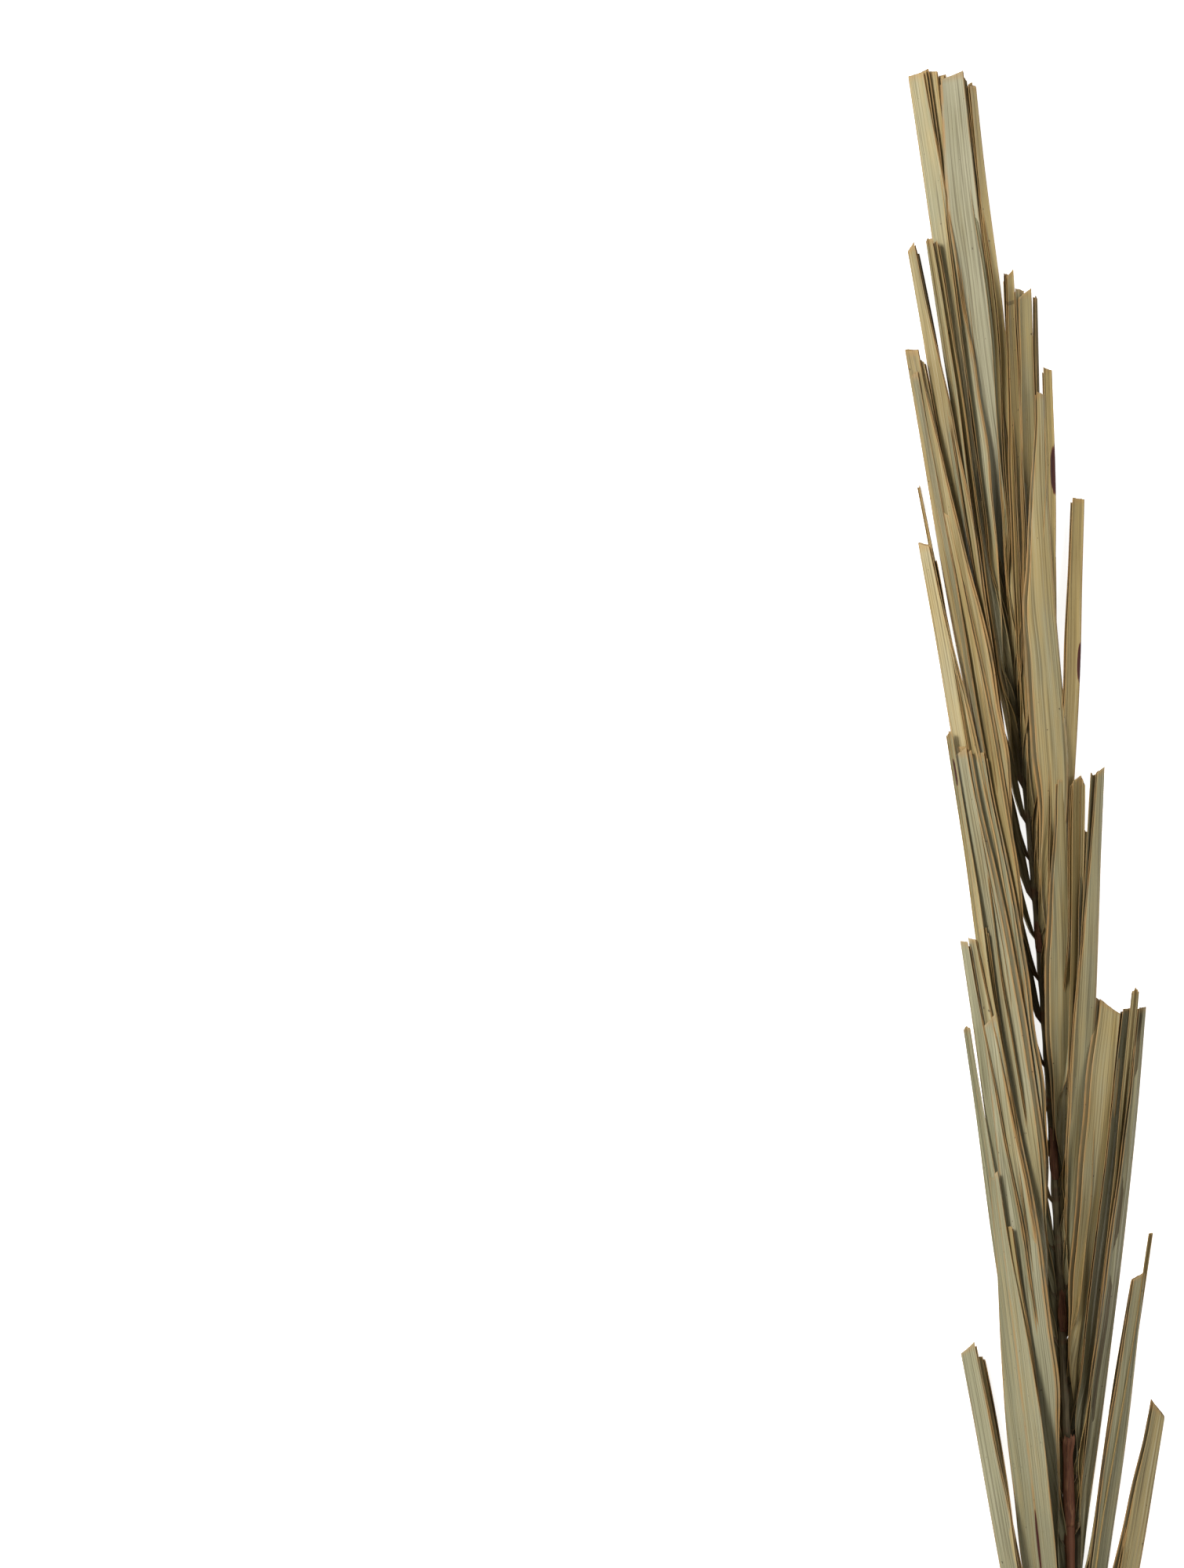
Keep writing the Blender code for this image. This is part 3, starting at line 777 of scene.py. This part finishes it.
# %% [markdown]
# The finish reads its numbers from the points. The lower half of a shut leaflet is painted darker, more so
# away
# from the foot: this is painted shade, for the shade of the upper half that it lies in. An ajar leaflet's
# lower half gets a little of it.

# %% One leaflet
# Painted shade: the lower half of a leaflet gets a darker tone for the shade that the upper half casts on
# it.
LOWER_HALF_PAINTED_SHADE = 0.6
PAINTED_SHADE_DEEPENS = (0.10, 0.35)  # the shares of the length between which a shut one darkens by 1 more
AJAR_PAINTED_SHADE = 0.2
FOLD_MM = 40  # where the fold lies on the scale across, clear of 0 on both halves


def leaflet_numbers(style, share, distance, width, length, noise):
    """What the leaflet's finish reads, for each point of the grid."""
    # Painted shade: the tone of the lower half is lowered for the shade it lies in.
    painted_shade = AJAR_PAINTED_SHADE if style["fold_at"] > 0 else LOWER_HALF_PAINTED_SHADE + ramp(share, *PAINTED_SHADE_DEEPENS)
    from_cut, half, side, reach = style["mark"]
    values = {
        "across_mm": SIDE * FROM_FOLD * width * 1000 + FOLD_MM,
        "along_mm": distance * 1000,
        "fold_to_margin": FROM_FOLD,
        "base_to_tip": np.clip(share, 0, 1),
        "tone": style["tone"] - painted_shade * (1 - UPPER),
        "green": style["green"],
        "own": noise.uniform(0, 60),
        "mark_at": length * 1000 - from_cut,
        "mark_half": half,
        "mark_side": side,
        "mark_reach": reach,
    }
    return {name: np.broadcast_to(value, distance.shape) for name, value in values.items()}


def leaflet_sheet(name, noise):
    """The sheet of one leaflet: (rows, columns, 3) points, and what the finish needs."""
    style = leaflet_style(name, noise)
    edges = blade_edges(name)
    middle_line = edges.mean(axis=1)
    steps = np.linalg.norm(np.diff(middle_line, axis=0), axis=1)
    places = np.concatenate([[0], np.cumsum(steps)])
    length = places[-1]
    rows = leaflet_rows(length)
    cut = cut_line(style, edges, noise)
    distance = rows[:, None] + cut * ramp(rows, 0.5 * length, length)[:, None]
    share = distance / length
    outer, across, normal, width = blade_under(edges, middle_line, places, distance)
    clear = standing_clear(name, edges[0, 0, 1])
    reach, height, uneven = shut_section(style, rows, share, width, clear, noise)
    if style["fold_at"] > 0:
        reach, height = fallen_open(style, share, reach, height, uneven)
    reach, height = laid(style, rows, share, reach, height, noise)
    height = height + pleating(style, share, clear)
    aside, height = tilted(style, share, width, reach, height)
    points = outer + across * aside[..., None] + normal * height[..., None]
    numbers = leaflet_numbers(style, share, distance, width, length, noise)
    return planted(style, share, distance, points), numbers


# %% [markdown]
# ## From points to a piece
#
# A grid of points becomes a smooth mesh with the finish's numbers stored on it. Solidify then gives
# the sheet the thickness of a dry leaf, which leaves its cut edges visible. The random generator is
# seeded once, and every piece draws from it in turn, so each run grows the same leaf.

# %% Meshes with numbers on their points
def mesh_object(name, points, faces, numbers, material):
    """A smooth mesh object with numbers stored on its points."""
    mesh = bpy.data.meshes.new(name)
    mesh.from_pydata(points.reshape(-1, 3).tolist(), [], faces)
    for label, values in numbers.items():
        layer = mesh.attributes.new(label, "FLOAT", "POINT")
        layer.data.foreach_set("value", np.ascontiguousarray(values, np.float32).ravel())
    mesh.shade_smooth()
    mesh.materials.append(material)
    made = bpy.data.objects.new(name, mesh)
    bpy.context.scene.collection.objects.link(made)
    return made


def sheet_object(name, points, numbers, thickness, material):
    """A grid of points as a sheet with a thickness."""
    rows, columns = points.shape[:2]
    index = np.arange(rows * columns).reshape(rows, columns)
    faces = np.stack([index[:-1, :-1], index[:-1, 1:], index[1:, 1:], index[1:, :-1]], axis=-1)
    made = mesh_object(name, points, faces.reshape(-1, 4).tolist(), numbers, material)
    solid = made.modifiers.new("thickness", "SOLIDIFY")
    solid.thickness = thickness
    solid.offset = 0.0
    return made


# %% Grow every leaflet
noise = np.random.default_rng(7)
for name in leaflet_names:
    points, numbers = leaflet_sheet(name, noise)
    leaflet = sheet_object("blade_of_" + name, points, numbers, LEAF_THICKNESS, dry_leaflet)
    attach(leaflet, "root")
    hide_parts(name)
print("grew", len(leaflet_names), "leaflets")

# %% [markdown]
# ## The midrib
#
# The midrib is a woody rod, as thick as a little finger at the stalk's cut end and thin as wire at
# the tip. It is ribbed along its length, and swells at every node where a leaflet leaves it. Fibres
# torn by the drying leave rusty brown scars there. The finish is fibres drawn out along the rod, and
# needs to know how near a point is to a node.

# %% Midrib finish
BARK = srgb(122, 110, 82)
BARK_PALE = srgb(158, 142, 106)
BARK_DARK = srgb(84, 71, 50)
RED_BROWN = srgb(112, 64, 42)


def midrib_finish():
    material, wire, shader = finish("midrib_bark", 0.66)
    around = wire.attribute("around_mm")
    along = wire.attribute("along_mm")
    node = wire.attribute("node")
    fibre = wire.noise(around / 0.7, along / 30, 0.0, 3.0, 0.6)
    cloud = wire.noise(around / 6, along / 24, 5.0, 3.0)
    colour = fibre.between(0.35, 0.65).tint(BARK_DARK, BARK)
    colour = (cloud.between(0.48, 0.68) * 0.7).tint(colour, BARK_PALE)
    rusty = (node + (cloud - 0.5) * 1.2).between(0.85, 1.3) * 0.85
    rusty.tint(colour, RED_BROWN).feed(shader, "Base Color")
    (0.66 + (fibre - 0.5) * 0.3).feed(shader, "Roughness")
    emboss(fibre + cloud * 0.4, shader, strength=0.7, depth=0.0006)
    return material


midrib_bark = midrib_finish()
print("made", midrib_bark.name)

# %% [markdown]
# The rod is built as rings of points round the CAD midrib's own centre line. A ring's radius is the
# CAD's at a node and a little less between nodes, less the ribs between its edges, and changed a
# little by a few slow lumps. Its lower side is pressed flat where it meets the table.

# %% Midrib shape
RIBS = 9
RIB_DEPTH = 0.05
RIB_TURN = 0.4
NODE_SWELL = 0.16
NODE_LENGTH = 0.006
RING_STEP = 0.0022
AROUND = 40
LUMPS = 4
RUSTY_BELOW = -0.235  # below this the midrib keeps the rusty skin of its sheath
RUSTY_FADE = 0.02
RUSTY_SKIN = 1.4
TABLE_CLEARANCE = 0.0001


def node_closeness(y):
    """1 where a leaflet leaves the midrib, 0 away from it."""
    nodes = np.array([blade_edges(name)[0].mean(axis=0)[1] for name in leaflet_names])
    return np.exp(-(((y[:, None] - nodes[None, :]) / NODE_LENGTH) ** 2)).max(axis=1)


def midrib_radius(y, angle, node, noise):
    """(rings, around): the rod's radius."""
    ribs = 1 - RIB_DEPTH * (0.5 + 0.5 * np.cos(angle * RIBS + RIB_TURN))
    lumps = np.stack([wander(noise, y, 0.012, 0.02) for _ in range(LUMPS)])
    swell = 1 + NODE_SWELL * node - NODE_SWELL
    radius = smooth_line(midrib_radii, midrib_centres[:, 1], y)
    radius = radius[:, None] * ribs[None, :] * swell[:, None]
    for turn in range(LUMPS):
        lump = np.cos(angle * (turn + 1) / 2 + turn)[None, :] ** 2
        radius = radius * (1 + lumps[turn][:, None] * lump)
    return radius


def midrib_object(noise):
    y = np.arange(midrib_centres[0, 1], midrib_centres[-1, 1], RING_STEP)
    angle = np.linspace(0, 2 * math.pi, AROUND + 1)[:-1]
    centre = smooth_line(midrib_centres, midrib_centres[:, 1], y)
    node = node_closeness(y)
    radius = midrib_radius(y, angle, node, noise)
    x = centre[:, 0, None] + radius * np.cos(angle)
    z = centre[:, 2, None] + radius * np.sin(angle)
    along = np.broadcast_to(y[:, None], x.shape)
    points = np.stack([x, along, np.maximum(z, TABLE_CLEARANCE)], axis=-1)
    index = np.arange(x.size).reshape(x.shape)
    after = np.roll(index, -1, axis=1)
    sides = np.stack([index[:-1], index[1:], after[1:], after[:-1]], axis=-1).reshape(-1, 4)
    ends = [index[0].tolist(), index[-1][::-1].tolist()]
    rusty = np.maximum(node, RUSTY_SKIN * (1 - ramp(y, RUSTY_BELOW - RUSTY_FADE, RUSTY_BELOW)))
    core = smooth_line(midrib_radii, midrib_centres[:, 1], y)[:, None]
    numbers = {
        "around_mm": np.abs(angle - math.pi) * core * 1000,
        "along_mm": along * 1000,
        "node": np.broadcast_to(rusty[:, None], x.shape),
    }
    return mesh_object("midrib_rod", points, sides.tolist() + ends, numbers, midrib_bark)


midrib = midrib_object(noise)
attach(midrib, "root")
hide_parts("midrib")
print("midrib", len(midrib.data.polygons), "faces")

# %% [markdown]
# ## Torn sheath
#
# A papery sheath wrapped the young midrib. It dried, split, and hangs on in a few rusty scraps that
# end in torn fibres. Each scrap is a thin sheet bent round the top of the midrib, with one end lifted
# and its cut line jagged. Sheets laid on the midrib's own curve follow it without a gap, so the same
# grid and thickness as a leaflet's will do.

# %% Sheath finish
SHEATH_DARK = srgb(70, 36, 22)
SHEATH_BROWN = srgb(120, 76, 50)
SHEATH_PALE = srgb(146, 106, 74)


def sheath_finish():
    material, wire, shader = finish("torn_sheath", 0.72)
    across = wire.attribute("across_mm")
    along = wire.attribute("along_mm")
    fibre = wire.noise(across / 0.35, along / 18, 2.0, 3.0, 0.6)
    cloud = wire.noise(across / 3, along / 12, 9.0, 3.0)
    colour = fibre.between(0.36, 0.62).tint(SHEATH_DARK, SHEATH_BROWN)
    (cloud.between(0.5, 0.7) * 0.6).tint(colour, SHEATH_PALE).feed(shader, "Base Color")
    (0.7 + (fibre - 0.5) * 0.3).feed(shader, "Roughness")
    emboss(fibre, shader, strength=0.7, depth=0.0004)
    return material


torn_sheath = sheath_finish()
print("made", torn_sheath.name)

# %% Scraps of sheath
SHEATH_THICKNESS = 0.00025
SHEATH_CLEARANCE = 0.0004
SCRAP_WIDTH_MM = 8
TORN = 0.0016
SCRAP_ALONG = np.linspace(0, 1, 26)[:, None]
SCRAP_ACROSS = np.linspace(-1, 1, 13)[None, :]

SCRAPS = (  # lower end, length, half angle round the midrib, turn from the top, lift of the free end
    (-0.292, 0.058, 62, 4, 0.0045),
    (-0.071, 0.034, 55, 8, 0.0020),
    (0.074, 0.020, 48, -6, 0.0012),
    (-0.168, 0.026, 50, 12, 0.0015),
)


def sheath_scrap(name, low_end, length, half_angle, turn, lift, noise):
    """One scrap, narrow and torn at its free end."""
    along, across = SCRAP_ALONG, SCRAP_ACROSS
    torn = noise.normal(0, TORN, across.size)[None, :] * ramp(along, 0.55, 1.0)
    y = low_end + along * length + torn
    narrowing = 1 - 0.55 * ramp(along, 0.45, 1.0) - 0.35 * (1 - ramp(along, 0.0, 0.2))
    angle = math.radians(90 - turn) - across * math.radians(half_angle) * narrowing
    angle = angle + wander(noise, along.ravel(), 0.2, 0.06)[:, None]
    centre = smooth_line(midrib_centres, midrib_centres[:, 1], y.ravel()).reshape(*y.shape, 3)
    radius = smooth_line(midrib_radii, midrib_centres[:, 1], y.ravel()).reshape(y.shape)
    curl = lift * ramp(along, 0.6, 1.0) ** 2 + SHEATH_CLEARANCE * np.abs(across) ** 3
    radius = radius + SHEATH_CLEARANCE + curl
    x = centre[..., 0] + radius * np.cos(angle)
    points = np.stack([x, y, centre[..., 2] + radius * np.sin(angle)], axis=-1)
    numbers = {
        "across_mm": np.broadcast_to(across * SCRAP_WIDTH_MM / 2, y.shape),
        "along_mm": y * 1000,
    }
    return sheet_object(name, points, numbers, SHEATH_THICKNESS, torn_sheath)


for number, scrap in enumerate(SCRAPS):
    made = sheath_scrap(f"sheath_scrap_{number + 1}", *scrap, noise)
    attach(made, "root")
print("scraps of sheath", len(SCRAPS))
